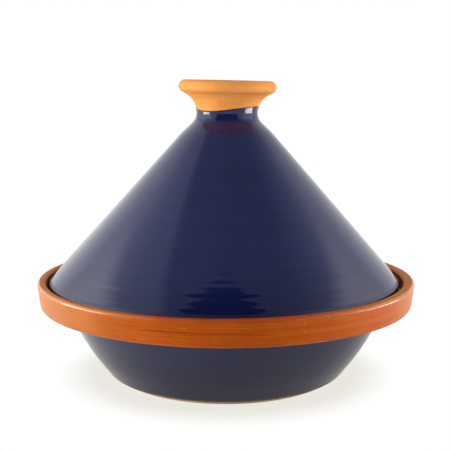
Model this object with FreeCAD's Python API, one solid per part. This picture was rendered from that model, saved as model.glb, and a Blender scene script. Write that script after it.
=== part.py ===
import FreeCAD, Part
import math
import os

# Tagine pot: a wheel-thrown clay dish under a conical clay lid that lifts straight off it.
# Every piece is turned about Z. The origin is the centre of the foot, on the standing surface.
# Sizes are in millimetres, and the points of an outline are (radius, height).

# Driving dimensions of the finished pot
rim_diameter = 300.0
rim_height = 78.2
foot_diameter = 176.0
overall_height = 234.0
knob_diameter = 77.0
neck_diameter = 48.6
dish_wall = 8.5
lid_wall = 8.0
glaze = 0.4                  # thickness of a fired glaze coat

# Dish
heel_height = 4.5            # the foot is trimmed inward below this
foot_bare = 2.4              # height of the unglazed strip round the foot
floor_height = 9.5
belly_centre = (-30.0, 115.0)  # the wall is an arc about this point of the outline
belly_radius = 166.3
belly_bottom = 14.0          # below this the wall runs straight down to the heel
belly_top = 48.0             # and above this straight up to the band
band_height = 18.9           # the band round the rim stands out from the wall
band_taper = 2.4             # and is narrower at its lower edge
rim_land = 7.2               # width of the rim's top
gallery_depth = 11.7         # the ledge for the lid lies this far below the rim
gallery_lip = 1.5            # the ledge overhangs the inside of the wall
gallery_throat = 8.0         # height over which the wall meets the ledge
inner_foot = 30.0            # below this the inside runs straight to the floor
glaze_seam = 142.5           # radius under the band where the two glazes meet

# Lid
lid_side_gap = 3.2           # play between the lid's edge and the rim
lid_edge_height = 11.1       # upright edge at the foot of the cone
lid_edge_bare = 3.5          # and its unglazed lower strip
cone_slope = 0.893           # radius lost per millimetre of height
shoulder_height = 193.7      # the cone steepens inward here
shoulder_slope = 1.08
lid_foot_width = 9.5         # flat ring that stands on the gallery
bead_height = 16.5           # the lid's edge is thickened up to here
dome_height = 198.0          # closed tip of the lid, inside

# Knob, thrown apart and luted to the lid's tip at the narrowest level of the neck
lute_height = 208.3
flare_radius = 17.0
lip_radius = 4.9
cup_throat = (24.5, 222.0)
cup_floor = (14.5, 214.0)
glaze_line_height = 213.2    # the dipped blue glaze stops here on the neck
glaze_line_slope_x = 0.02    # the lid was dipped a little askew
glaze_line_slope_y = 0.08
glaze_line_reach = 217.0     # higher than the glaze line all round

# Roundings
heel_edge = 8.0
band_corner = 4.0            # between the wall and the underside of the band
band_lower_edge = 2.5
rim_outer_edge = 1.6
rim_inner_edge = 1.6
gallery_corner = 2.5
gallery_edge = 3.0
floor_corner = 18.0
dome_corner = 14.0
bead_corner = 15.0
lid_foot_edge = 2.5
lid_lower_edge = 3.0
lid_upper_edge = 1.2
shoulder_bend = 60.0
neck_bend = 9.8
cup_throat_bend = 8.0
cup_floor_bend = 5.0

# Places worked out from the driving dimensions, on the clay under the glaze
rim_top = rim_height - glaze
taper = math.atan2(band_taper, band_height)
rim_edge_loss = rim_outer_edge * (math.tan(taper) + 1 / math.cos(taper) - 1)
rim_outer = rim_diameter / 2 - glaze + rim_edge_loss
rim_inner = rim_outer - rim_land
band_bottom = rim_top - band_height
gallery = rim_top - gallery_depth
lid_foot = gallery + glaze
lid_edge = rim_inner - glaze - lid_side_gap - glaze
neck = neck_diameter / 2 - glaze
lip_centre = knob_diameter / 2 - lip_radius
lip_middle = overall_height - lip_radius
shortest_run = 1e-6


# A corner of an outline, sharp or rounded
def corner(radius, height, rounding=0.0):
    return FreeCAD.Vector(radius, 0, height), rounding


# A point that an arc passes through, between the corners before and after it
def bend(radius, height):
    return FreeCAD.Vector(radius, 0, height), None


# Start, middle and end of the tangent arc that rounds a corner
def rounded(before, point, after, size):
    back = (before - point).normalize()
    onward = (after - point).normalize()
    half = back.getAngle(onward) / 2
    reach = size / math.tan(half)
    inward = (back + onward).normalize()
    middle = point + inward * (size / math.sin(half) - size)
    return point + back * reach, middle, point + onward * reach


# Lines and arcs along a run of corners and bends
def edges_along(run):
    edges = []
    start = run[0][0]
    through = None
    for index, (point, rounding) in enumerate(run[1:], 1):
        if rounding is None:
            through = point
            continue
        arc = rounded(run[index - 1][0], point, run[index + 1][0], rounding) if rounding else (point,)
        if through:
            edges.append(Part.Arc(start, through, arc[0]).toShape())
        elif start.distanceToPoint(arc[0]) > shortest_run:
            edges.append(Part.LineSegment(start, arc[0]).toShape())
        if rounding:
            edges.append(Part.Arc(*arc).toShape())
        start = arc[-1]
        through = None
    return edges


# The solid that a face of the outline sweeps in one turn of the wheel
def turned(face):
    return face.revolve(FreeCAD.Vector(0, 0, 0), FreeCAD.Vector(0, 0, 1), 360)


# Clay inside runs that follow on from axis to axis
def clay_piece(*runs):
    edges = [edge for run in runs for edge in edges_along(run)]
    start = runs[0][0][0]
    end = runs[-1][-1][0]
    edges.append(Part.LineSegment(end, start).toShape())
    return turned(Part.Face(Part.Wire(edges)))


# A coat of even thickness on the clay along runs that follow on
def glaze_coat(*runs):
    outline = Part.Wire([edge for run in runs for edge in edges_along(run)])
    return turned(outline.makeOffset2D(-glaze, join=0, fill=True, openResult=True))


# The dish's outline: out under the foot, up the outside, over the rim and back along the inside

def on_belly(height, inset=0.0):
    centre, level = belly_centre
    size = belly_radius - inset
    return centre + math.sqrt(size ** 2 - (height - level) ** 2), height


# The straight line that carries the belly on from one height to another
def beyond_belly(height, onward, inset=0.0):
    centre, level = belly_centre
    radius = on_belly(height, inset)[0]
    return radius + (onward - height) * (level - height) / (radius - centre), onward


def heel():
    return beyond_belly(belly_bottom, heel_height)


# Where the blue glaze ends on the trimmed foot
def glaze_start():
    foot = foot_diameter / 2
    return foot + (heel()[0] - foot) * foot_bare / heel_height, foot_bare


def dish_foot():
    return [
        corner(0, 0),
        corner(foot_diameter / 2, 0),
        corner(*glaze_start()),
    ]


def dish_outside():
    return [
        corner(*glaze_start()),
        corner(*heel(), heel_edge),
        corner(*on_belly(belly_bottom)),
        bend(*on_belly((belly_bottom + belly_top) / 2)),
        corner(*on_belly(belly_top)),
        corner(*beyond_belly(belly_top, band_bottom), band_corner),
        corner(glaze_seam, band_bottom),
    ]


def dish_rim_and_inside():
    ledge = on_belly(gallery, dish_wall)[0] + gallery_lip
    throat = gallery - gallery_throat
    return [
        corner(glaze_seam, band_bottom),
        corner(rim_outer - band_taper, band_bottom, band_lower_edge),
        corner(rim_outer, rim_top, rim_outer_edge),
        corner(rim_inner, rim_top, rim_inner_edge),
        corner(rim_inner, gallery, gallery_corner),
        corner(ledge, gallery, gallery_edge),
        corner(*on_belly(throat, dish_wall)),
        bend(*on_belly((throat + inner_foot) / 2, dish_wall)),
        corner(*on_belly(inner_foot, dish_wall)),
        corner(*beyond_belly(inner_foot, floor_height, dish_wall), floor_corner),
        corner(0, floor_height),
    ]


# The lid's outline: down the inside from the tip, under the edge, and up the outside to the knob

def on_cone(height, inset=0.0):
    start = lid_foot + lid_edge_height
    return lid_edge - (height - start) * cone_slope - inset * math.hypot(1, cone_slope), height


def lid_inside():
    return [
        corner(0, dome_height),
        corner(*on_cone(dome_height, lid_wall), dome_corner),
        corner(*on_cone(lid_foot + bead_height, lid_wall), bead_corner),
        corner(lid_edge - lid_foot_width, lid_foot, lid_foot_edge),
        corner(lid_edge, lid_foot, lid_lower_edge),
        corner(lid_edge, lid_foot + lid_edge_bare),
    ]


def lid_outside():
    shoulder = on_cone(shoulder_height)
    neck_foot = shoulder_height + (shoulder[0] - neck) / shoulder_slope
    return [
        corner(lid_edge, lid_foot + lid_edge_bare),
        corner(lid_edge, lid_foot + lid_edge_height, lid_upper_edge),
        corner(*shoulder, shoulder_bend),
        corner(neck, neck_foot, neck_bend),
        corner(neck, lute_height),
    ]


# The knob's outline: up the flared neck, round the rolled lip and down into the cup

def on_flare(height):
    return neck + flare_radius - math.sqrt(flare_radius ** 2 - (height - lute_height) ** 2), height


def knob_neck():
    return [
        corner(neck, lute_height),
        bend(*on_flare((lute_height + glaze_line_reach) / 2)),
        corner(*on_flare(glaze_line_reach)),
    ]


def knob_lip_and_cup():
    lip_bottom = lip_middle - lip_radius
    return [
        corner(*on_flare(glaze_line_reach)),
        bend(*on_flare((glaze_line_reach + lip_bottom) / 2)),
        corner(*on_flare(lip_bottom)),
        corner(lip_centre + lip_radius, lip_bottom, lip_radius),
        corner(lip_centre + lip_radius, overall_height, lip_radius),
        corner(lip_centre - lip_radius, overall_height, lip_radius),
        corner(lip_centre - lip_radius, lip_middle - lip_radius / 2),
        corner(*cup_throat, cup_throat_bend),
        corner(*cup_floor, cup_floor_bend),
        corner(0, cup_floor[1]),
    ]


# Pieces

def base_dish():
    return clay_piece(dish_foot(), dish_outside(), dish_rim_and_inside())


def base_blue_glaze():
    return glaze_coat(dish_outside())


def base_clear_glaze():
    return glaze_coat(dish_rim_and_inside())


def lid_cone():
    lute = [corner(neck, lute_height), corner(0, lute_height)]
    return clay_piece(lid_inside(), lid_outside(), lute)


def lid_knob():
    lute = [corner(0, lute_height), corner(neck, lute_height)]
    return clay_piece(lute, knob_neck(), knob_lip_and_cup())


def lid_blue_glaze():
    level = FreeCAD.Vector(0, 0, glaze_line_height)
    upward = FreeCAD.Vector(-glaze_line_slope_x, -glaze_line_slope_y, 1)
    above_line = Part.makeCylinder(knob_diameter, knob_diameter, level, upward)
    return glaze_coat(lid_outside(), knob_neck()).cut(above_line).Solids[0]


pieces = {
    "base_dish": base_dish(),
    "base_blue_glaze": base_blue_glaze(),
    "base_clear_glaze": base_clear_glaze(),
    "lid_cone": lid_cone(),
    "lid_knob": lid_knob(),
    "lid_blue_glaze": lid_blue_glaze(),
}
os.makedirs("parts", exist_ok=True)
for name, piece in pieces.items():
    print(name, piece.ShapeType, len(piece.Solids), piece.isValid(), round(piece.Volume / 1000, 2), "cm3")
    piece.exportStep(f"parts/{name}.step")
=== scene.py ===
import bpy
import bmesh
import math
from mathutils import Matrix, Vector


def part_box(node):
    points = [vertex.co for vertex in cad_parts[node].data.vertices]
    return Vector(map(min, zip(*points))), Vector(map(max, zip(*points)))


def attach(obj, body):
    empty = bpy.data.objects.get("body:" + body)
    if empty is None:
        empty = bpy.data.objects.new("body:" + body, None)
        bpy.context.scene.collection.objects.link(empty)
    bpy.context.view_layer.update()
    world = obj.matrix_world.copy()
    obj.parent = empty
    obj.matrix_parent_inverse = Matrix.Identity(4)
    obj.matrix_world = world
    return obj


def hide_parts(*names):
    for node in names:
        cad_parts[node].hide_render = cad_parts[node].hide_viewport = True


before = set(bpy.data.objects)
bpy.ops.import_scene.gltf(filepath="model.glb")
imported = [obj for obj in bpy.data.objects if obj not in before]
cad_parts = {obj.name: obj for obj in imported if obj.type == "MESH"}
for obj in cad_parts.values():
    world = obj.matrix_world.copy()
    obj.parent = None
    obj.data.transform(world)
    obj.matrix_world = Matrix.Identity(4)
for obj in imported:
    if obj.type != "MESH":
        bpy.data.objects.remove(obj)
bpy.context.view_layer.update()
mm = 0.001
print("frame loaded:", ", ".join(sorted(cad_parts)))


# Node tools, for shaders and geometry alike

def plug(tree, socket, value):
    if isinstance(value, bpy.types.NodeSocket):
        tree.links.new(value, socket)
    else:
        socket.default_value = value


def addNode(tree, kind, links=None, **settings):
    node = tree.nodes.new(kind)
    for name, value in settings.items():
        setattr(node, name, value)
    for name, value in (links or {}).items():
        plug(tree, node.inputs[name], value)
    return node


def calc(tree, operation, *values, clamp=False):
    node = addNode(tree, "ShaderNodeMath", operation=operation, use_clamp=clamp)
    for socket, value in zip(node.inputs, values):
        plug(tree, socket, value)
    return node.outputs[0]


def ease(tree, value, low, high, toLow=0.0, toHigh=1.0):  # smooth step from low to high
    links = {"Value": value, "From Min": low, "From Max": high, "To Min": toLow, "To Max": toHigh}
    return addNode(tree, "ShaderNodeMapRange", links, interpolation_type="SMOOTHSTEP").outputs[0]


def noise(tree, vector, scale, detail, roughness, seed=0.0):
    links = {"Vector": vector, "W": seed, "Scale": scale, "Detail": detail, "Roughness": roughness}
    return addNode(tree, "ShaderNodeTexNoise", links, noise_dimensions="4D").outputs["Fac"]


def swing(tree, value):  # noise from about -1 to 1
    return calc(tree, "MULTIPLY_ADD", value, 2.0, -1.0)


def joinXyz(tree, x, y, z):
    return addNode(tree, "ShaderNodeCombineXYZ", {0: x, 1: y, 2: z}).outputs[0]


def splitXyz(tree, vector):
    return addNode(tree, "ShaderNodeSeparateXYZ", {0: vector}).outputs


def hexColour(code):
    channels = [int(code[i:i + 2], 16) / 255 for i in (1, 3, 5)]
    linear = [c / 12.92 if c <= 0.04045 else ((c + 0.055) / 1.055) ** 2.4 for c in channels]
    return (*linear, 1.0)


# The wheel: a tree that turns an outline round Z, with throwing rings and a little wobble

wheel = {
    "Segments": 256,
    "Coat": 0.0,            # thickness of a glaze coat, none for clay
    "Coat Edge": 0.9 * mm,  # a coat rounds off to nothing over this length
    "Ends On Axis": 0.0,
    "Ring Pitch": 7.0 * mm,
    "Ring Depth": 0.02 * mm,
    "Ring Until": 1.0,      # rings fade out this far along
    "Edge Rings": 0.0,      # deeper rings near the start
    "Edge Width": 58.0 * mm,
    "Mark Along": 0.0,      # a tool mark that runs part of the way round the front
    "Mark Depth": 0.0,
    "Wobble": 0.25 * mm,
    "Start Waver": 0.0,
    "End Trim": 0.0,
    "End Tilt X": 0.0,
    "End Tilt Y": 0.0,
    "End Swell": 0.0,
    "End Waver": 0.0,
    "Inside Shift": 0.0,    # the inside was turned a little off centre
    "Inside From": 0.0,
    "Lean": 0.0,
    "Lean From": 0.0,
    "Shift X": 0.0,
    "Shift Y": 0.0,
    "Tip Tilt": 0.0,
    "Tip From": 1.0,
    "Seed": 3.0,
}
throwing = {
    "startFade": 5 * mm,    # a wavering start is made up over this length
    "axisClear": 15 * mm,   # rings and wobble fade this close to the axis
    "ringFade": 3 * mm,
    "ringDrift": 0.35,      # how far a ring changes on its way round
    "markEdges": (0.7 * mm, 0.1 * mm),
    "markSide": 0.12,       # the mark is deepest a little left of the front
    "insideFade": 6 * mm,
    "tipFade": 25 * mm,
    "weld": 0.01 * mm,
}


def makeWheelTree():
    tree = bpy.data.node_groups.new("thrownOnWheel", "GeometryNodeTree")
    tree.interface.new_socket("Outline", in_out="INPUT", socket_type="NodeSocketGeometry")
    for name, value in wheel.items():
        kind = "NodeSocketInt" if isinstance(value, int) else "NodeSocketFloat"
        tree.interface.new_socket(name, in_out="INPUT", socket_type=kind)
    tree.interface.new_socket("Finish", in_out="INPUT", socket_type="NodeSocketMaterial")
    tree.interface.new_socket("Piece", in_out="OUTPUT", socket_type="NodeSocketGeometry")
    given = tree.nodes.new("NodeGroupInput").outputs
    outline = given["Outline"]

    # rows follow the outline and columns go round; a coat's rows come back along the clay
    size = addNode(tree, "GeometryNodeAttributeDomainSize", {"Geometry": outline}, component="CURVE")
    points = size.outputs["Point Count"]
    coated = calc(tree, "GREATER_THAN", given["Coat"], 0.0)
    rows = calc(tree, "MULTIPLY", points, calc(tree, "ADD", coated, 1.0))
    columns = calc(tree, "ADD", given["Segments"], 1.0)
    grid = addNode(tree, "GeometryNodeMeshGrid", {"Vertices X": columns, "Vertices Y": rows})
    index = addNode(tree, "GeometryNodeInputIndex").outputs[0]
    row = calc(tree, "MODULO", index, rows)
    column = calc(tree, "FLOOR", calc(tree, "DIVIDE", index, rows))
    inner = calc(tree, "GREATER_THAN", row, calc(tree, "SUBTRACT", points, 0.5))
    back = calc(tree, "SUBTRACT", calc(tree, "SUBTRACT", rows, 1.0), row)
    step = calc(tree, "MULTIPLY_ADD", inner, calc(tree, "SUBTRACT", back, row), row)

    turn = calc(tree, "MULTIPLY", calc(tree, "DIVIDE", column, given["Segments"]), 2 * math.pi)
    east = calc(tree, "COSINE", turn)
    north = calc(tree, "SINE", turn)

    # place on the outline, drawn in at the ends where the glaze line wavers
    length = addNode(tree, "GeometryNodeSplineParameter").outputs["Length"]
    sample = {"Geometry": outline, "Value": length, "Index": step}
    along = addNode(tree, "GeometryNodeSampleIndex", sample, data_type="FLOAT", domain="POINT").outputs[0]
    whole = addNode(tree, "GeometryNodeCurveLength", {"Curve": outline}).outputs[0]
    lowEdge = swing(tree, noise(tree, joinXyz(tree, east, north, 4.0), 2.2, 4.0, 0.6, given["Seed"]))
    highEdge = swing(tree, noise(tree, joinXyz(tree, east, north, 9.0), 1.3, 3.0, 0.55, given["Seed"]))
    begin = calc(tree, "MULTIPLY", calc(tree, "ABSOLUTE", lowEdge), given["Start Waver"])
    trim = calc(tree, "MULTIPLY_ADD", highEdge, given["End Waver"], given["End Trim"])
    trim = calc(tree, "SUBTRACT", trim, calc(tree, "MULTIPLY", given["End Tilt X"], east))
    trim = calc(tree, "SUBTRACT", trim, calc(tree, "MULTIPLY", given["End Tilt Y"], north))
    twice = calc(tree, "MULTIPLY", calc(tree, "MULTIPLY", east, north), 2.0)
    trim = calc(tree, "SUBTRACT", trim, calc(tree, "MULTIPLY", given["End Swell"], twice))
    end = calc(tree, "SUBTRACT", whole, trim)
    early = calc(tree, "SUBTRACT", 1.0, calc(tree, "DIVIDE", along, throwing["startFade"], clamp=True))
    share = calc(tree, "DIVIDE", along, whole)
    place = calc(tree, "MULTIPLY_ADD", share, end, calc(tree, "MULTIPLY", begin, early))
    spot = addNode(tree, "GeometryNodeSampleCurve", {"Curves": outline, "Length": place}, mode="LENGTH")
    radius, _, height = splitXyz(tree, spot.outputs["Position"])
    tangentOut, _, outward = splitXyz(tree, spot.outputs["Tangent"])
    upward = calc(tree, "MULTIPLY", tangentOut, -1.0)

    # the coat's thickness, rounded off at its edges
    toEnd = calc(tree, "ADD", calc(tree, "SUBTRACT", end, place), given["Ends On Axis"])
    toEdge = calc(tree, "MINIMUM", calc(tree, "SUBTRACT", place, begin), toEnd)
    eased = calc(tree, "SQRT", calc(tree, "DIVIDE", toEdge, given["Coat Edge"], clamp=True))
    outer = calc(tree, "SUBTRACT", 1.0, inner)
    thick = calc(tree, "MULTIPLY", calc(tree, "MULTIPLY", eased, given["Coat"]), outer)

    # throwing rings stand across the wall, and fade on level ground and at the axis
    ringAt = calc(tree, "DIVIDE", place, given["Ring Pitch"])
    drifts = [calc(tree, "MULTIPLY", side, throwing["ringDrift"]) for side in (east, north)]
    ring = swing(tree, noise(tree, joinXyz(tree, ringAt, *drifts), 1.0, 2.0, 0.5, given["Seed"]))
    steep = calc(tree, "MULTIPLY", calc(tree, "ABSOLUTE", outward), 2.0, clamp=True)
    clear = calc(tree, "DIVIDE", radius, throwing["axisClear"], clamp=True)
    lowRings = ease(tree, place, given["Edge Width"], 0.0)
    depth = calc(tree, "MULTIPLY_ADD", given["Edge Rings"], lowRings, given["Ring Depth"])
    fadeFrom = calc(tree, "SUBTRACT", given["Ring Until"], throwing["ringFade"])
    fade = ease(tree, place, given["Ring Until"], fadeFrom)
    fade = calc(tree, "MULTIPLY", fade, calc(tree, "MULTIPLY", steep, clear))
    push = calc(tree, "MULTIPLY_ADD", ring, calc(tree, "MULTIPLY", depth, fade), thick)

    # the tool mark is a shallow groove, deepest left of the front
    offMark = calc(tree, "ABSOLUTE", calc(tree, "SUBTRACT", place, given["Mark Along"]))
    leftward = calc(tree, "MULTIPLY", east, throwing["markSide"])
    facing = calc(tree, "SUBTRACT", calc(tree, "MULTIPLY", north, -0.99), leftward)
    marked = ease(tree, offMark, *throwing["markEdges"])
    marked = calc(tree, "MULTIPLY", marked, ease(tree, facing, 0.9, 0.985))
    push = calc(tree, "SUBTRACT", push, calc(tree, "MULTIPLY", marked, given["Mark Depth"]))

    # a slow wobble, then the lean, the shift and the tilted tip
    ovalSpot = joinXyz(tree, east, north, calc(tree, "MULTIPLY", height, 8.0))
    oval = swing(tree, noise(tree, ovalSpot, 0.7, 1.0, 0.5, given["Seed"]))
    oval = calc(tree, "MULTIPLY", calc(tree, "MULTIPLY", oval, given["Wobble"]), clear)
    reach = calc(tree, "ADD", calc(tree, "MULTIPLY_ADD", outward, push, radius), oval)
    level = calc(tree, "MULTIPLY_ADD", upward, push, height)
    rise = calc(tree, "SUBTRACT", level, given["Lean From"])
    drift = calc(tree, "MULTIPLY_ADD", rise, given["Lean"], given["Shift X"])
    insideBy = calc(tree, "ADD", given["Inside From"], throwing["insideFade"])
    within = ease(tree, place, given["Inside From"], insideBy)
    drift = calc(tree, "MULTIPLY_ADD", within, given["Inside Shift"], drift)
    x = calc(tree, "MULTIPLY_ADD", reach, east, drift)
    y = calc(tree, "MULTIPLY_ADD", reach, north, given["Shift Y"])
    tipBy = calc(tree, "ADD", given["Tip From"], throwing["tipFade"])
    tip = ease(tree, level, given["Tip From"], tipBy)
    aside = calc(tree, "MULTIPLY", reach, east)
    dip = calc(tree, "MULTIPLY", calc(tree, "MULTIPLY", tip, given["Tip Tilt"]), aside)
    z = calc(tree, "SUBTRACT", level, dip)

    spread = {"Geometry": grid.outputs["Mesh"], "Position": joinXyz(tree, x, y, z)}
    placed = addNode(tree, "GeometryNodeSetPosition", spread)
    weld = {"Geometry": placed.outputs[0], "Distance": throwing["weld"]}
    closed = addNode(tree, "GeometryNodeMergeByDistance", weld)
    smooth = addNode(tree, "GeometryNodeSetShadeSmooth", {"Geometry": closed.outputs[0]})
    real = addNode(tree, "GeometryNodeRealizeInstances", {"Geometry": smooth.outputs[0]})
    dressed = {"Geometry": real.outputs[0], "Material": given["Finish"]}
    done = addNode(tree, "GeometryNodeSetMaterial", dressed)
    addNode(tree, "NodeGroupOutput", {"Piece": done.outputs[0]})
    return tree


wheelTree = makeWheelTree()


# Outlines, as corners (radius, height, rounding) that run with the clay on their left

facetTurn = math.radians(9)
shortestRun = 0.02 * mm


def roundCorner(before, point, after, size, spacing):
    back = (before - point).normalized()
    onward = (after - point).normalized()
    half = back.angle(onward) / 2
    centre = point + (back + onward).normalized() * size / math.sin(half)
    start = point + back * size / math.tan(half) - centre
    end = point + onward * size / math.tan(half) - centre
    sweep = math.pi - 2 * half
    steps = max(3, math.ceil(sweep / facetTurn), math.ceil(sweep * size / spacing))
    turns = [sweep * i / steps for i in range(steps + 1)]
    return [centre + (start * math.sin(sweep - a) + end * math.sin(a)) / math.sin(sweep) for a in turns]


def traceOutline(corners, spacing):
    places = [Vector(corner[:2]) for corner in corners]
    path = [places[0]]
    for i, corner in enumerate(corners[1:], 1):
        size = corner[2] if len(corner) > 2 else 0.0
        stops = roundCorner(places[i - 1], places[i], places[i + 1], size, spacing) if size else [places[i]]
        run = (stops[0] - path[-1]).length
        count = math.ceil(run / spacing)
        last = path[-1]
        path += [last.lerp(stops[0], k / count) for k in range(1, count)]
        path += stops if run > shortestRun else stops[1:]
    return path


def pathLength(path):
    return sum((b - a).length for a, b in zip(path, path[1:]))


def alongRule(rule, start, end, count):
    return [rule(start + (end - start) * i / count) for i in range(count + 1)]


def throwPiece(name, path, finish, node, body, slotName, **changes):
    curve = bpy.data.curves.new(name + "Outline", "CURVE")
    curve.dimensions = "3D"
    spline = curve.splines.new("POLY")
    spline.points.add(len(path) - 1)
    for point, (radius, height) in zip(spline.points, path):
        point.co = (radius, 0.0, height, 1.0)
    source = bpy.data.objects.new(name + "Outline", curve)
    bpy.context.collection.objects.link(source)
    modifier = source.modifiers.new("wheel", "NODES")
    modifier.node_group = wheelTree
    values = {**wheel, **changes, "Finish": finish}
    for item in wheelTree.interface.items_tree:
        if item.in_out == "INPUT" and item.name in values:
            modifier[item.identifier] = values[item.name]
    depsgraph = bpy.context.evaluated_depsgraph_get()
    mesh = bpy.data.meshes.new_from_object(source.evaluated_get(depsgraph), depsgraph=depsgraph)
    source.modifiers.remove(modifier)
    bpy.data.objects.remove(source)
    mesh.name = name
    cleanMesh(mesh)
    piece = bpy.data.objects.new(name, mesh)
    bpy.context.collection.objects.link(piece)
    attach(piece, body)
    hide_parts(node)
    print("thrown:", name, len(mesh.polygons), "faces")


def cleanMesh(mesh):
    work = bmesh.new()
    work.from_mesh(mesh)
    loose = [edge for edge in work.edges if not edge.link_faces]
    bmesh.ops.delete(work, geom=loose, context="EDGES")
    bmesh.ops.recalc_face_normals(work, faces=work.faces)
    work.to_mesh(mesh)
    work.free()


# Shared surface effects

def makeGroup(name, inputs, outputs):
    tree = bpy.data.node_groups.new(name, "ShaderNodeTree")
    for socket, kind in inputs.items():
        tree.interface.new_socket(socket, in_out="INPUT", socket_type="NodeSocket" + kind)
    for socket in outputs:
        tree.interface.new_socket(socket, in_out="OUTPUT", socket_type="NodeSocketFloat")
    return tree, tree.nodes.new("NodeGroupInput").outputs, tree.nodes.new("NodeGroupOutput").inputs


def fromAxis(tree, x, y):
    return calc(tree, "SQRT", calc(tree, "MULTIPLY_ADD", x, x, calc(tree, "MULTIPLY", y, y)))


# Fine lines that the fingers and the rib leave round the pot
def makeTurningLines():
    inputs = {"Vector": "Vector", "Pitch": "Float", "Waver": "Float"}
    tree, given, out = makeGroup("turningLines", inputs, ["Lines"])
    x, y, z = splitXyz(tree, given["Vector"])
    radius = calc(tree, "MAXIMUM", fromAxis(tree, x, y), 1 * mm)
    east = calc(tree, "MULTIPLY", calc(tree, "DIVIDE", x, radius), given["Waver"])
    north = calc(tree, "MULTIPLY", calc(tree, "DIVIDE", y, radius), given["Waver"])
    slant = calc(tree, "MULTIPLY_ADD", radius, -0.6, z)
    spot = joinXyz(tree, calc(tree, "DIVIDE", slant, given["Pitch"]), east, north)
    tree.links.new(noise(tree, spot, 1.0, 3.0, 0.6), out["Lines"])
    return tree


# Scattered grains and pits: a soft dot in a share of the cells
def makeSpecks():
    inputs = {"Vector": "Vector", "Spacing": "Float", "Share": "Float", "Dot": "Float"}
    tree, given, out = makeGroup("specks", inputs, ["Mask"])
    scale = calc(tree, "DIVIDE", 1.0, given["Spacing"])
    cells = addNode(tree, "ShaderNodeTexVoronoi", {"Vector": given["Vector"], "Scale": scale})
    chance = splitXyz(tree, cells.outputs["Color"])[0]
    chosen = calc(tree, "LESS_THAN", chance, given["Share"])
    dot = ease(tree, cells.outputs["Distance"], given["Dot"], calc(tree, "MULTIPLY", given["Dot"], 0.4))
    tree.links.new(calc(tree, "MULTIPLY", chosen, dot), out["Mask"])
    return tree


turningLines = makeTurningLines()
specks = makeSpecks()


def useGroup(tree, group, **values):
    node = tree.nodes.new("ShaderNodeGroup")
    node.node_tree = group
    for name, value in values.items():
        plug(tree, node.inputs[name], value)
    return node.outputs[0]


def mixColour(tree, share, first, second):
    node = addNode(tree, "ShaderNodeMix", data_type="RGBA")
    for socket, value in zip((node.inputs[0], node.inputs[6], node.inputs[7]), (share, first, second)):
        plug(tree, socket, value)
    return node.outputs[2]


def newFinish(name):
    material = bpy.data.materials.new(name)
    material.use_nodes = True
    tree = material.node_tree
    shader = tree.nodes["Principled BSDF"]
    spot = tree.nodes.new("ShaderNodeTexCoord").outputs["Object"]
    return material, tree, shader.inputs, spot


def bump(tree, height, distance):
    return addNode(tree, "ShaderNodeBump", {"Height": height, "Distance": distance}).outputs[0]


def blend(tree, first, second, share):
    return calc(tree, "MULTIPLY_ADD", calc(tree, "SUBTRACT", second, first), share, first)


# Deep blue glaze, of another shade low down and where it thins to the clay at its lower edge; on the lid
# that edge colour is partly a painted reflection of the rim's orange inside
blueLook = {
    "deep": hexColour("#10173d"),
    "light": hexColour("#161f4c"),
    "speck": hexColour("#77769a"),
    "roughness": (0.045, 0.075),
    "tint": (0.77, 0.81, 1.0, 1.0),
    "ior": 1.52,
    "linePitch": 2.4 * mm,
    "cloudScale": 22.0,
    "lowShare": 0.8,
    "ragged": 0.8 * mm,
    "speckSpacing": 9 * mm,
    "dullEdge": (1.2 * mm, 0.4 * mm),   # the gloss ends this far above the thin edge
    "dullRoughness": 0.35,
    "peelScale": 160.0,
    "orangePeel": 0.006 * mm,
}


def makeBlueGlaze(name, low, thin, thinLow, thinHigh, lowReach):
    material, tree, shader, spot = newFinish(name)
    height = splitXyz(tree, spot)[2]
    lines = useGroup(tree, turningLines, Vector=spot, Pitch=blueLook["linePitch"], Waver=0.5)
    clouds = noise(tree, spot, blueLook["cloudScale"], 3.0, 0.55, 5.0)
    tone = ease(tree, blend(tree, clouds, lines, 0.6), 0.3, 0.7)
    colour = mixColour(tree, tone, blueLook["deep"], blueLook["light"])
    lower = ease(tree, height, lowReach, thinHigh, 0.0, blueLook["lowShare"])
    colour = mixColour(tree, lower, colour, low)
    ragged = calc(tree, "MULTIPLY_ADD", clouds, blueLook["ragged"], height)
    # the thin edge colour; on the lid it is partly a painted reflection of the rim's orange inside
    colour = mixColour(tree, ease(tree, ragged, thinHigh, thinLow), colour, thin)
    pale = useGroup(tree, specks, Vector=spot, Spacing=blueLook["speckSpacing"], Share=0.05, Dot=0.04)
    plug(tree, shader["Base Color"], mixColour(tree, pale, colour, blueLook["speck"]))
    rough = ease(tree, clouds, 0.3, 0.7, *blueLook["roughness"])
    dullFrom, dullTo = (thinHigh + above for above in blueLook["dullEdge"])
    edge = ease(tree, height, dullFrom, dullTo, 0.0, blueLook["dullRoughness"])
    plug(tree, shader["Roughness"], calc(tree, "MAXIMUM", rough, edge))
    peel = noise(tree, spot, blueLook["peelScale"], 2.0, 0.5, 8.0)
    plug(tree, shader["Normal"], bump(tree, peel, blueLook["orangePeel"]))
    shader["IOR"].default_value = blueLook["ior"]
    shader["Specular Tint"].default_value = blueLook["tint"]
    return material


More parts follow.
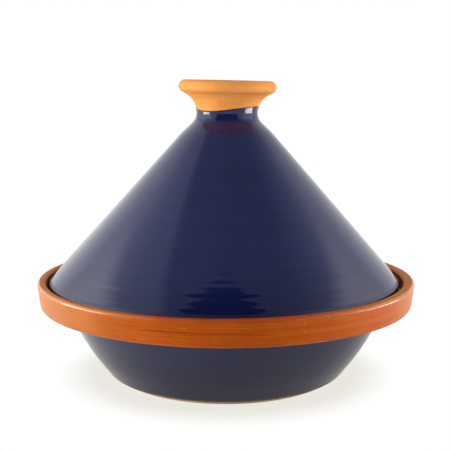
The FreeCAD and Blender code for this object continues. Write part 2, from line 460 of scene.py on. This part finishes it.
# Clear glaze over red clay: thin on the band and inside, thick on the rim's outer edge
clearLook = {
    "clay": hexColour("#a24007"),
    "pale": hexColour("#b75016"),
    "dark": hexColour("#742d08"),
    "pit": hexColour("#5a2208"),
    "grain": hexColour("#e2a271"),
    "paintedLight": hexColour("#ab6631"),   # painted light, paler on the band's lit left and right sides
    "litLand": hexColour("#cf7d34"),    # and painted light on the rim's top at the sides
    "tint": (1.0, 0.7, 0.1, 1.0),
    "roughness": (0.34, 0.46),
    "specular": (0.4, 0.01),         # on the band, and on the dull land that tops the rim
    "linePitch": 1.1 * mm,
    "streakPitch": 2.6 * mm,
    "scratchGlintPitch": 0.7 * mm,
    "pitSpacing": 3.4 * mm,
    "grainSpacing": 4 * mm,
    "cloudScale": 30.0,
    "relief": 0.08 * mm,
    "paintedLeftLight": (-50 * mm, -130 * mm),
    "paintedRightLight": (105 * mm, 150 * mm, 0.0, 0.6),
    "litLandSides": (40 * mm, 120 * mm, 0.0, 0.8),
    "landRise": (77.2 * mm, 77.9 * mm),
    "rimCoat": 0.7,                  # on the rim's outer edge
    "rimFrom": (147.8 * mm, 76.0 * mm),
    "rimFade": (0.8 * mm, 1 * mm),
    "coatRoughness": 0.1,
    "markHeight": 69.2 * mm,
    "markEdges": (0.6 * mm, 0.1 * mm),
}


def makeClearGlaze():
    material, tree, shader, spot = newFinish("clearGlazedClay")
    x, y, height = splitXyz(tree, spot)
    lines = useGroup(tree, turningLines, Vector=spot, Pitch=clearLook["linePitch"], Waver=0.9)
    streaks = useGroup(tree, turningLines, Vector=spot, Pitch=clearLook["streakPitch"], Waver=1.6)
    scratchGlints = useGroup(tree, turningLines, Vector=spot, Pitch=clearLook["scratchGlintPitch"], Waver=7.0)
    pits = useGroup(tree, specks, Vector=spot, Spacing=clearLook["pitSpacing"], Share=0.12, Dot=0.15)
    grains = useGroup(tree, specks, Vector=spot, Spacing=clearLook["grainSpacing"], Share=0.12, Dot=0.11)
    clouds = noise(tree, spot, clearLook["cloudScale"], 4.0, 0.6, 2.0)
    tone = ease(tree, blend(tree, clouds, lines, 0.6), 0.4, 0.64)
    colour = mixColour(tree, tone, clearLook["clay"], clearLook["pale"])
    colour = mixColour(tree, ease(tree, streaks, 0.54, 0.72, 0.0, 0.25), colour, clearLook["dark"])
    # pale scratch lines, partly painted highlights that stand in for glints off the fine turning ridges
    colour = mixColour(tree, ease(tree, scratchGlints, 0.6, 0.72, 0.0, 0.3), colour, clearLook["grain"])
    colour = mixColour(tree, calc(tree, "MULTIPLY", pits, 0.7), colour, clearLook["pit"])
    colour = mixColour(tree, grains, colour, clearLook["grain"])

    # painted light at the band's sides and on the rim's top at the sides, and the dark in the tool mark
    # painted light: the band is paler towards its left and right, where the side lamps fall
    paintedLeftLight = ease(tree, x, *clearLook["paintedLeftLight"])
    sides = calc(tree, "ADD", paintedLeftLight, ease(tree, x, *clearLook["paintedRightLight"]))
    paintedSideLight = calc(tree, "MULTIPLY", sides, ease(tree, clouds, 0.3, 0.7, 0.75, 1.0))
    colour = mixColour(tree, paintedSideLight, colour, clearLook["paintedLight"])
    # painted light: the rim's top is paler and yellower at the lit sides
    litLand = ease(tree, calc(tree, "ABSOLUTE", x), *clearLook["litLandSides"])
    litLand = calc(tree, "MULTIPLY", litLand, ease(tree, height, *clearLook["landRise"]))
    colour = mixColour(tree, litLand, colour, clearLook["litLand"])
    radius = fromAxis(tree, x, y)
    facing = calc(tree, "DIVIDE", calc(tree, "MULTIPLY_ADD", x, throwing["markSide"], y), radius)
    offMark = calc(tree, "ABSOLUTE", calc(tree, "SUBTRACT", height, clearLook["markHeight"]))
    groove = ease(tree, offMark, *clearLook["markEdges"])
    groove = calc(tree, "MULTIPLY", groove, ease(tree, facing, -0.95, -0.995))
    patchy = calc(tree, "MULTIPLY", groove, ease(tree, clouds, 0.35, 0.55, 0.6, 0.95))
    plug(tree, shader["Base Color"], mixColour(tree, patchy, colour, clearLook["pit"]))

    plug(tree, shader["Roughness"], ease(tree, clouds, 0.3, 0.7, *clearLook["roughness"]))
    outer, upper = clearLook["rimFrom"]
    across, rise = clearLook["rimFade"]
    edge = ease(tree, radius, outer, outer + across)
    edge = calc(tree, "MULTIPLY", edge, ease(tree, height, upper, upper + rise))
    plug(tree, shader["Coat Weight"], calc(tree, "MULTIPLY", edge, clearLook["rimCoat"]))
    relief = calc(tree, "SUBTRACT", blend(tree, lines, clouds, 0.3), calc(tree, "MULTIPLY", pits, 0.8))
    plug(tree, shader["Normal"], bump(tree, relief, clearLook["relief"]))
    specular = ease(tree, height, *clearLook["landRise"], *clearLook["specular"])
    plug(tree, shader["Specular IOR Level"], specular)
    shader["Coat Roughness"].default_value = clearLook["coatRoughness"]
    shader["Specular Tint"].default_value = clearLook["tint"]
    return material


# Bare fired clay: dry, peach, with finger lines and fine grog, and a painted tan at the foot for its shade
# blended with the pale floor
bareLook = {
    "clay": hexColour("#e38f36"),
    "pale": hexColour("#ea9b52"),
    "dark": hexColour("#cc7a30"),
    "grog": hexColour("#b0682f"),
    "sand": hexColour("#f3c48a"),
    # painted tan at the foot: it stands in for the foot's shade blended with the pale floor's light
    "foot": hexColour("#d9bd78"),
    "paintedFootRise": (5 * mm, 3 * mm),
    "roughness": (0.72, 0.88),
    "specular": 0.45,
    "linePitch": 1.0 * mm,
    "grogSpacing": 1.7 * mm,
    "sandSpacing": 1.3 * mm,
    "cloudScale": 60.0,
    "gritScale": 1400.0,
    "relief": 0.06 * mm,
}


def makeBareClay():
    material, tree, shader, spot = newFinish("bareClay")
    height = splitXyz(tree, spot)[2]
    lines = useGroup(tree, turningLines, Vector=spot, Pitch=bareLook["linePitch"], Waver=0.5)
    clouds = noise(tree, spot, bareLook["cloudScale"], 4.0, 0.6, 7.0)
    tone = blend(tree, clouds, lines, 0.55)
    colour = mixColour(tree, ease(tree, tone, 0.4, 0.65), bareLook["clay"], bareLook["pale"])
    colour = mixColour(tree, ease(tree, tone, 0.4, 0.28, 0.0, 0.6), colour, bareLook["dark"])
    grog = useGroup(tree, specks, Vector=spot, Spacing=bareLook["grogSpacing"], Share=0.1, Dot=0.2)
    colour = mixColour(tree, calc(tree, "MULTIPLY", grog, 0.3), colour, bareLook["grog"])
    sand = useGroup(tree, specks, Vector=spot, Spacing=bareLook["sandSpacing"], Share=0.1, Dot=0.22)
    colour = mixColour(tree, calc(tree, "MULTIPLY", sand, 0.35), colour, bareLook["sand"])
    # painted tan at the foot for its shade blended with the pale floor
    paintedFoot = ease(tree, height, *bareLook["paintedFootRise"])
    plug(tree, shader["Base Color"], mixColour(tree, paintedFoot, colour, bareLook["foot"]))
    plug(tree, shader["Roughness"], ease(tree, clouds, 0.3, 0.7, *bareLook["roughness"]))
    grit = noise(tree, spot, bareLook["gritScale"], 3.0, 0.6, 1.0)
    plug(tree, shader["Normal"], bump(tree, blend(tree, lines, grit, 0.3), bareLook["relief"]))
    shader["Specular IOR Level"].default_value = bareLook["specular"]
    return material


# The blue glaze's lower edge: plum on the lid, partly a painted reflection of the rim's orange inside, and
# tan round the dish's foot
lidEdge = {
    "low": hexColour("#0d1137"),
    # plum where the glaze thins, brightened as a painted reflection of the rim's orange inside
    "thin": hexColour("#6a3034"),
    "thinLow": 72.0 * mm,
    "thinHigh": 78.5 * mm,
    "lowReach": 105.0 * mm,
}
dishEdge = {
    "low": hexColour("#1e1b2d"),
    "thin": hexColour("#b39350"),
    "thinLow": 2.6 * mm,
    "thinHigh": 4.6 * mm,
    "lowReach": 130.0 * mm,
}
bareClay = makeBareClay()
clearGlaze = makeClearGlaze()
lidGlaze = makeBlueGlaze("lidBlueGlaze", **lidEdge)
dishGlaze = makeBlueGlaze("dishBlueGlaze", **dishEdge)
print("finishes made")


# Dish: its outline starts under the foot, climbs the outside, and comes back along the inside

glazeThickness = 0.4 * mm
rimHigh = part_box("base_clear_glaze")[1]
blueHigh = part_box("base_blue_glaze")[1]
dish = {
    "footRadius": 88.0 * mm,
    "footEdge": 0.6 * mm,
    "footBare": 2.4 * mm,
    "heelHeight": 4.5 * mm,
    "heelEdge": 8.0 * mm,
    "floor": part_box("base_clear_glaze")[0].z,
    "bellyCentre": (-30.0 * mm, 115.0 * mm),
    "bellyRadius": 166.3 * mm,
    "bellyBottom": 14.0 * mm,
    "bellyTop": 48.0 * mm,
    "wall": 8.5 * mm,
    "bandBottom": blueHigh.z,
    "bandTaper": 2.4 * mm,
    "bandCorner": 4.0 * mm,
    "bandEdge": 2.5 * mm,
    "seam": blueHigh.x,
    "rimTop": rimHigh.z - glazeThickness,
    "rimOuter": rimHigh.x - glazeThickness + 0.22 * mm,   # sharp corner that the rim's rounding trims
    "rimLand": 7.2 * mm,
    "rimEdge": 1.6 * mm,
    "galleryDepth": 11.7 * mm,
    "galleryCorner": 2.5 * mm,
    "galleryLip": 1.5 * mm,
    "galleryEdge": 3.0 * mm,
    "galleryThroat": 8.0 * mm,
    "innerFoot": 30.0 * mm,
    "floorCorner": 18.0 * mm,
    "insideShift": -1.0 * mm,   # the inside lies a little off centre
    "ridgePitch": 1.3 * mm,     # fine turning ridges on the band
    "ridgeDepth": 0.035 * mm,
    "markHeight": clearLook["markHeight"],    # a tool mark on the band's front
    "markDepth": 0.38 * mm,
    "glazeWaver": 0.5 * mm,
    "segments": 224,
    "spacing": {
        "foot": 4.0 * mm,
        "outside": 1.0 * mm,
        "band": 0.3 * mm,
        "bandClay": 1.2 * mm,
        "inside": 2.5 * mm,
    },
}


def onBelly(height, inset=0.0):
    centre, level = dish["bellyCentre"]
    return centre + math.sqrt((dish["bellyRadius"] - inset) ** 2 - (height - level) ** 2), height


def beyondBelly(height, onward, inset=0.0):
    centre, level = dish["bellyCentre"]
    radius = onBelly(height, inset)[0]
    return radius + (onward - height) * (level - height) / (radius - centre), onward


def throwDish():
    bandBottom, wall = dish["bandBottom"], dish["wall"]
    heel = beyondBelly(dish["bellyBottom"], dish["heelHeight"])
    climb = dish["footBare"] / dish["heelHeight"]
    glazeStart = (dish["footRadius"] + (heel[0] - dish["footRadius"]) * climb, dish["footBare"])
    foot = [(0.0, 0.0), (dish["footRadius"], 0.0, dish["footEdge"]), glazeStart]
    outside = [glazeStart, (*heel, dish["heelEdge"])]
    outside += alongRule(onBelly, dish["bellyBottom"], dish["bellyTop"], 24)
    outside += [(*beyondBelly(dish["bellyTop"], bandBottom), dish["bandCorner"]), (dish["seam"], bandBottom)]
    rimTop, rimOuter = dish["rimTop"], dish["rimOuter"]
    rimInner = rimOuter - dish["rimLand"]
    gallery = rimTop - dish["galleryDepth"]
    ledge = onBelly(gallery, wall)[0] + dish["galleryLip"]
    throat = gallery - dish["galleryThroat"]
    rimMiddle = (rimOuter + rimInner) / 2
    band = [
        (dish["seam"], bandBottom),
        (rimOuter - dish["bandTaper"], bandBottom, dish["bandEdge"]),
        (rimOuter, rimTop, dish["rimEdge"]),
        (rimMiddle, rimTop),
    ]
    inside = [
        (rimMiddle, rimTop),
        (rimInner, rimTop, dish["rimEdge"]),
        (rimInner, gallery, dish["galleryCorner"]),
        (ledge, gallery, dish["galleryEdge"]),
    ]
    inside += alongRule(lambda height: onBelly(height, wall), throat, dish["innerFoot"], 12)
    floorEdge = beyondBelly(dish["innerFoot"], dish["floor"], wall)
    inside += [(*floorEdge, dish["floorCorner"]), (0.0, dish["floor"])]

    spacing = dish["spacing"]
    footPath = traceOutline(foot, spacing["foot"])
    outsidePath = traceOutline(outside, spacing["outside"])
    bandPath = traceOutline(band, spacing["band"])
    bandClayPath = traceOutline(band, spacing["bandClay"])
    insidePath = traceOutline(inside, spacing["inside"])
    clayPath = footPath + outsidePath[1::2] + bandClayPath[1:] + insidePath[1:]
    bandStart = pathLength(footPath + outsidePath[1:])
    bandLength = pathLength(bandPath)
    landStart = bandLength - dish["rimLand"] / 2
    markAlong = landStart - (rimTop - dish["markHeight"])
    shared = {
        "Segments": dish["segments"],
        "Inside Shift": dish["insideShift"],
        "Mark Depth": dish["markDepth"],
    }
    clay = {
        "Ring Depth": 0.0,
        "Inside From": bandStart + landStart,
        "Mark Along": bandStart + markAlong,
    }
    blueCoat = {"Coat": glazeThickness, "Start Waver": dish["glazeWaver"]}
    clearCoat = {
        "Coat": glazeThickness,
        "Ends On Axis": 1.0,
        "Ring Pitch": dish["ridgePitch"],
        "Ring Depth": dish["ridgeDepth"],
        "Ring Until": landStart,
        "Inside From": landStart,
        "Mark Along": markAlong,
    }
    throwPiece("dishClay", clayPath, bareClay, "base_dish", "base", "bare_clay", **clay, **shared)
    throwPiece("dishBlueGlaze", outsidePath, dishGlaze, "base_blue_glaze", "base", "blue_glaze", **blueCoat)
    throwPiece("dishClearGlaze", bandPath + insidePath[1:], clearGlaze,
               "base_clear_glaze", "base", "clear_glazed_clay", **clearCoat, **shared)


throwDish()


# Lid: its outline starts at the tip inside, goes round the edge, and climbs to the knob

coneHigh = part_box("lid_cone")[1]
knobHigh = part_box("lid_knob")[1]
lid = {
    "foot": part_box("lid_cone")[0].z,
    "edge": coneHigh.x,
    "edgeHeight": 11.1 * mm,
    "droop": 0.5 * mm,      # the cone steepens just above its edge
    "droopLength": 24.0 * mm,
    "edgeSink": 1.7,        # the edge's corner lies this many droops lower
    "edgeBare": 3.5 * mm,
    "lowerEdge": 3.0 * mm,
    "upperEdge": 1.2 * mm,
    "coneSlope": 0.893,
    "shoulderHeight": 193.7 * mm,
    "shoulderSlope": 1.08,
    "shoulderBend": 60.0 * mm,
    "wall": 8.0 * mm,
    "footWidth": 9.5 * mm,
    "footEdge": 2.5 * mm,
    "beadHeight": 16.5 * mm,
    "beadCorner": 15.0 * mm,
    "dome": 198.0 * mm,
    "domeCorner": 14.0 * mm,
    "neck": 23.9 * mm,
    "neckBend": 9.8 * mm,
    "lute": coneHigh.z,
    "lean": 0.018,          # the lid stands a little to one side, as thrown
    "shift": (-1.4 * mm, -1.6 * mm),
    "ringPitch": 4.2 * mm,
    "ringDepth": 0.006 * mm,
    "edgeRings": 0.17 * mm,
    "insideRings": 0.08 * mm,
    "plainFoot": 8 * mm,    # the inside's rings stop this far from the glaze
    "spacing": {
        "inside": 2.0 * mm,
        "outside": 1.2 * mm,
        "lute": 4.0 * mm,
        "flare": 0.6 * mm,
        "lip": 0.7 * mm,
    },
}
glazeLine = {               # the dipped glaze starts and stops unevenly
    "Start Waver": 0.8 * mm,
    "End Trim": 3.6 * mm,
    "End Tilt X": 0.65 * mm,
    "End Tilt Y": 2.0 * mm,
    "End Swell": -1.25 * mm,
    "End Waver": 0.25 * mm,
}
knob = {
    "flareRadius": 17.0 * mm,
    "lipRadius": 4.9 * mm,
    "lipOuter": knobHigh.x,
    "top": knobHigh.z,
    "glazeReach": 217.0 * mm,
    "cupThroat": (24.5 * mm, 222.0 * mm),
    "cupThroatBend": 8.0 * mm,
    "cupFloor": (14.5 * mm, 214.0 * mm),
    "cupFloorBend": 5.0 * mm,
    "tilt": 0.022,
    "tiltFrom": 200.0 * mm,
    "ringPitch": 2.2 * mm,
    "ringDepth": 0.05 * mm,
}


def onCone(height, inset=0.0):
    start = lid["foot"] + lid["edgeHeight"]
    radius = lid["edge"] - (height - start) * lid["coneSlope"]
    return radius - inset * math.hypot(1, lid["coneSlope"]), height


def onDroop(share):
    slant = math.hypot(1, lid["coneSlope"])
    radius, height = onCone(lid["foot"] + lid["edgeHeight"] + share * lid["droopLength"] / slant)
    sunk = lid["droop"] * (1 - share) ** 2 / slant
    return radius - sunk, height - sunk * lid["coneSlope"]


def onFlare(height):
    size = knob["flareRadius"]
    return lid["neck"] + size - math.sqrt(size ** 2 - (height - lid["lute"]) ** 2), height


def throwLid():
    foot, edge, lute, neck = lid["foot"], lid["edge"], lid["lute"], lid["neck"]
    inside = [
        (0.0, lid["dome"]),
        (*onCone(lid["dome"], lid["wall"]), lid["domeCorner"]),
        (*onCone(foot + lid["beadHeight"], lid["wall"]), lid["beadCorner"]),
        (edge - lid["footWidth"], foot, lid["footEdge"]),
        (edge, foot, lid["lowerEdge"]),
        (edge, foot + lid["edgeBare"]),
    ]
    shoulder = onCone(lid["shoulderHeight"])
    neckFoot = lid["shoulderHeight"] + (shoulder[0] - neck) / lid["shoulderSlope"]
    edgeTop = foot + lid["edgeHeight"] - lid["edgeSink"] * lid["droop"]
    outside = [
        (edge, foot + lid["edgeBare"]),
        (edge, edgeTop, lid["upperEdge"]),
        *alongRule(onDroop, 0.0, 1.0, 6),
        (*shoulder, lid["shoulderBend"]),
        (neck, neckFoot, lid["neckBend"]),
        (neck, lute),
    ]
    flare = alongRule(onFlare, lute, knob["glazeReach"], 8)
    lipRadius, lipOuter, top = knob["lipRadius"], knob["lipOuter"], knob["top"]
    lipBottom = top - 2 * lipRadius
    lipInner = lipOuter - 2 * lipRadius
    lip = alongRule(onFlare, knob["glazeReach"], lipBottom, 8)
    lip += [
        (lipOuter, lipBottom, lipRadius),
        (lipOuter, top, lipRadius),
        (lipInner, top, lipRadius),
        (lipInner, top - 1.5 * lipRadius),
        (*knob["cupThroat"], knob["cupThroatBend"]),
        (*knob["cupFloor"], knob["cupFloorBend"]),
        (0.0, knob["cupFloor"][1]),
    ]
    spacing = lid["spacing"]
    insidePath = traceOutline(inside, spacing["inside"])
    outsidePath = traceOutline(outside, spacing["outside"])
    lutePath = traceOutline([(neck, lute), (0.0, lute)], spacing["lute"])
    flarePath = traceOutline(flare, spacing["flare"])
    lipPath = traceOutline(lip, spacing["lip"])
    clayPath = insidePath + outsidePath[1:] + lutePath[1:]
    knobPath = lutePath[::-1] + flarePath[1:] + lipPath[1:]
    stance = {
        "Lean": lid["lean"],
        "Lean From": foot + lid["edgeHeight"],
        "Shift X": lid["shift"][0],
        "Shift Y": lid["shift"][1],
        "Tip Tilt": knob["tilt"],
        "Tip From": knob["tiltFrom"],
    }
    clay = {"Ring Depth": lid["insideRings"], "Ring Until": pathLength(insidePath) - lid["plainFoot"]}
    grip = {"Ring Pitch": knob["ringPitch"], "Ring Depth": knob["ringDepth"]}
    coat = {
        "Coat": glazeThickness,
        "Ring Pitch": lid["ringPitch"],
        "Ring Depth": lid["ringDepth"],
        "Edge Rings": lid["edgeRings"],
        **glazeLine,
    }
    throwPiece("lidClay", clayPath, bareClay, "lid_cone", "lid", "bare_clay", **clay, **stance)
    throwPiece("lidKnob", knobPath, bareClay, "lid_knob", "lid", "bare_clay", **grip, **stance)
    throwPiece("lidBlueGlaze", outsidePath + flarePath[1:], lidGlaze,
               "lid_blue_glaze", "lid", "blue_glaze", **coat, **stance)


throwLid()


# Studio: a pale floor, a white tent with a dark open front, and a tall panel, a low card and
# a soft lamp on either side

studio = {
    "floor": hexColour("#f4f1e9"),
    "floorSize": 4.0,
    "shade": (0.1, 0.14),       # the floor pales between these distances from the axis
    "shadeGlow": (0.84, 1.0),
    "mirrored": (0.1, 0.22, 0.3, 1.0),  # and so does its image in the glaze
    "mirroredSide": -0.25,
    "dome": (0.95, 0.5),        # even light on everything, at the horizon and overhead
    "ceiling": (0.41, 0.34),    # what the glaze mirrors: overhead, left and right
    "ceilingStep": 0.5,         # the left wall brightens in two steps from the ceiling down
    "wall": (0.78, 0.6),
    "wallSlopes": ((0.46, 0.62), (0.62, 1.3), (0.4, 1.5)),
    "openLean": 0.324,          # the open front leans, narrows upwards and ends at two sides
    "arch": 0.6,
    "archSide": 0.03,
    "openSides": (0.64, 0.56),
    "openDark": -0.97,
    "panelSide": 0.6,
    "panelGlow": (1.5, 1.0),
    "cardGlow": (14.0, 12.5),
    "paper": (1.0, 0.92, 0.82, 1.0),
    "lampPlace": ((-0.85, -0.27, 0.16), (0.9, -0.02, 0.16)),
    "lampPower": (6.6, 5.2),
    "lampSize": 0.4,
    "lampAim": (0, 0, 0.1),
    "white": (1, 1, 1, 1),
}
panel = {
    "front": -0.4,
    "frontFull": -0.27,
    "backFull": 0.02,
    "back": 0.4,
    "low": 0.09,
    "highFull": 0.46,
    "high": 0.64,
}
cardSoft = 60 * mm
leftCard = {"near": -0.54, "far": -0.62, "front": -0.27, "back": 0.1, "low": 0.01, "high": 0.24}
rightCard = {"near": 0.5, "far": 0.64, "front": -0.23, "back": 0.18, "low": 0.01, "high": 0.16}


def addStaged(name, corners):
    mesh = bpy.data.meshes.new(name)
    mesh.from_pydata(corners, [], [(0, 1, 2, 3)])
    item = bpy.data.objects.new(name, mesh)
    bpy.context.collection.objects.link(item)
    return item


def addGlow(tree, strength, colour):
    return addNode(tree, "ShaderNodeEmission", {"Color": colour, "Strength": strength}).outputs[0]


def makeFloor():
    size = studio["floorSize"]
    corners = ((-size, -size), (size, -size), (size, size), (-size, size))
    floor = addStaged("studioFloor", [(*corner, 0) for corner in corners])
    material, tree, shader, spot = newFinish("paleFloor")
    shader["Base Color"].default_value = studio["floor"]
    shader["Roughness"].default_value = 0.9
    shader["Specular IOR Level"].default_value = 0.0
    x, y, _ = splitXyz(tree, spot)
    path = tree.nodes.new("ShaderNodeLightPath").outputs
    seen = calc(tree, "MAXIMUM", path["Is Camera Ray"], path["Is Transmission Ray"])
    away = fromAxis(tree, x, y)
    direct = ease(tree, away, *studio["shade"], *studio["shadeGlow"])
    leftward = calc(tree, "MULTIPLY_ADD", x, studio["mirroredSide"], away)
    mirrored = ease(tree, leftward, *studio["mirrored"])
    mirrored = calc(tree, "MULTIPLY", mirrored, path["Is Glossy Ray"])
    share = calc(tree, "ADD", calc(tree, "MULTIPLY", direct, seen), mirrored)
    paper = mixColour(tree, ease(tree, away, *studio["shade"]), studio["floor"], studio["white"])
    surface = tree.nodes["Principled BSDF"].outputs[0]
    mix = addNode(tree, "ShaderNodeMixShader", {0: share, 1: surface, 2: addGlow(tree, 1.0, paper)})
    tree.links.new(mix.outputs[0], tree.nodes["Material Output"].inputs["Surface"])
    floor.data.materials.append(material)


# A sheer sheet of light beside the pot that only the glaze mirrors
def addSheet(name, near, far, span, strengthOver):
    front, back, low, high = (span[side] for side in ("front", "back", "low", "high"))
    sheet = addStaged(name, [(near, front, low), (near, back, low), (far, back, high), (far, front, high)])
    material, tree, _, spot = newFinish(name)
    glow = addGlow(tree, strengthOver(tree, *splitXyz(tree, spot)), studio["paper"])
    through = addNode(tree, "ShaderNodeBsdfTransparent").outputs[0]
    sheer = addNode(tree, "ShaderNodeAddShader", {0: glow, 1: through}).outputs[0]
    tree.links.new(sheer, tree.nodes["Material Output"].inputs["Surface"])
    sheet.data.materials.append(material)
    sheet.visible_camera = False
    sheet.visible_diffuse = False
    sheet.visible_shadow = False
    sheet.visible_transmission = False


# A tall paper panel, mirrored above the lid's edge
def addPanel(name, side, glow):
    def strengthOver(tree, _, y, height):
        across = ease(tree, y, panel["front"], panel["frontFull"])
        across = calc(tree, "MULTIPLY", across, ease(tree, y, panel["back"], panel["backFull"]))
        upward = ease(tree, height, panel["high"], panel["highFull"], 0.0, glow)
        return calc(tree, "MULTIPLY", across, upward)

    addSheet(name, side, side, panel, strengthOver)


# A low bright card that leans outwards, mirrored in the neck
def addCard(name, card, glow):
    def strengthOver(tree, _, y, height):
        across = ease(tree, y, card["front"], card["front"] + cardSoft)
        across = calc(tree, "MULTIPLY", across, ease(tree, y, card["back"], card["back"] - cardSoft))
        upward = ease(tree, height, card["high"], card["high"] - cardSoft / 2, 0.0, glow)
        return calc(tree, "MULTIPLY", across, upward)

    addSheet(name, card["near"], card["far"], card, strengthOver)


def makeTent():
    world = bpy.data.worlds.new("whiteTent")
    bpy.context.scene.world = world
    world.use_nodes = True
    tree = world.node_tree
    x, y, z = splitXyz(tree, tree.nodes.new("ShaderNodeTexCoord").outputs["Generated"])
    spread = fromAxis(tree, x, calc(tree, "MAXIMUM", y, 0.0))
    slope = calc(tree, "DIVIDE", spread, calc(tree, "MAXIMUM", z, 0.05))
    edgeShare, leftShare, rightShare = (ease(tree, slope, *slopes) for slopes in studio["wallSlopes"])
    step = studio["ceilingStep"]
    left = calc(tree, "MULTIPLY_ADD", edgeShare, step, studio["ceiling"][0])
    left = calc(tree, "MULTIPLY_ADD", leftShare, studio["wall"][0] - step, left)
    right = calc(tree, "MULTIPLY_ADD", rightShare, studio["wall"][1], studio["ceiling"][1])
    bright = blend(tree, left, right, ease(tree, x, -0.15, 0.15))
    beside = calc(tree, "ADD", x, studio["archSide"])
    arch = calc(tree, "MULTIPLY", calc(tree, "MULTIPLY", beside, beside), studio["arch"])
    behind = calc(tree, "MULTIPLY_ADD", z, studio["openLean"], calc(tree, "ADD", y, arch))
    between = ease(tree, calc(tree, "ABSOLUTE", x), *studio["openSides"])
    opening = calc(tree, "MULTIPLY", ease(tree, behind, 0.0, -0.008), between)
    bright = calc(tree, "MULTIPLY", bright, calc(tree, "MULTIPLY_ADD", opening, studio["openDark"], 1.0))
    path = tree.nodes.new("ShaderNodeLightPath").outputs
    seen = calc(tree, "MAXIMUM", path["Is Camera Ray"], path["Is Transmission Ray"])
    light = blend(tree, ease(tree, z, 0.0, 1.0, *studio["dome"]), bright, path["Is Glossy Ray"])
    sky = tree.nodes["Background"]
    plug(tree, sky.inputs["Strength"], calc(tree, "MAXIMUM", light, seen))
    sky.inputs["Color"].default_value = studio["white"]


def addLamp(name, place, power):
    lamp = bpy.data.lights.new(name, "AREA")
    lamp.shape = "SQUARE"
    lamp.size = studio["lampSize"]
    lamp.energy = power
    holder = bpy.data.objects.new(name, lamp)
    holder.location = place
    holder.rotation_euler = (Vector(studio["lampAim"]) - Vector(place)).to_track_quat("-Z", "Y").to_euler()
    holder.visible_glossy = False
    holder.visible_camera = False
    bpy.context.collection.objects.link(holder)


# The camera that the photo's outlines were fitted with
view = {
    "sensor": 36.0,
    "lens": 74.01,
    "place": (-0.65 * mm, -736.5 * mm, 228.5 * mm),
    "downward": 8.455,
}


def addCamera():
    lens = bpy.data.cameras.new("photoCamera")
    lens.sensor_width = view["sensor"]
    lens.lens = view["lens"]
    camera = bpy.data.objects.new("photoCamera", lens)
    camera.location = view["place"]
    camera.rotation_euler = (math.radians(90 - view["downward"]), 0, 0)
    bpy.context.collection.objects.link(camera)
    bpy.context.scene.camera = camera


makeFloor()
makeTent()
addPanel("leftPanel", -studio["panelSide"], studio["panelGlow"][0])
addPanel("rightPanel", studio["panelSide"], studio["panelGlow"][1])
addCard("leftCard", leftCard, studio["cardGlow"][0])
addCard("rightCard", rightCard, studio["cardGlow"][1])
addLamp("leftLamp", studio["lampPlace"][0], studio["lampPower"][0])
addLamp("rightLamp", studio["lampPlace"][1], studio["lampPower"][1])
addCamera()
bpy.context.scene.view_settings.view_transform = "Standard"
print("studio set")
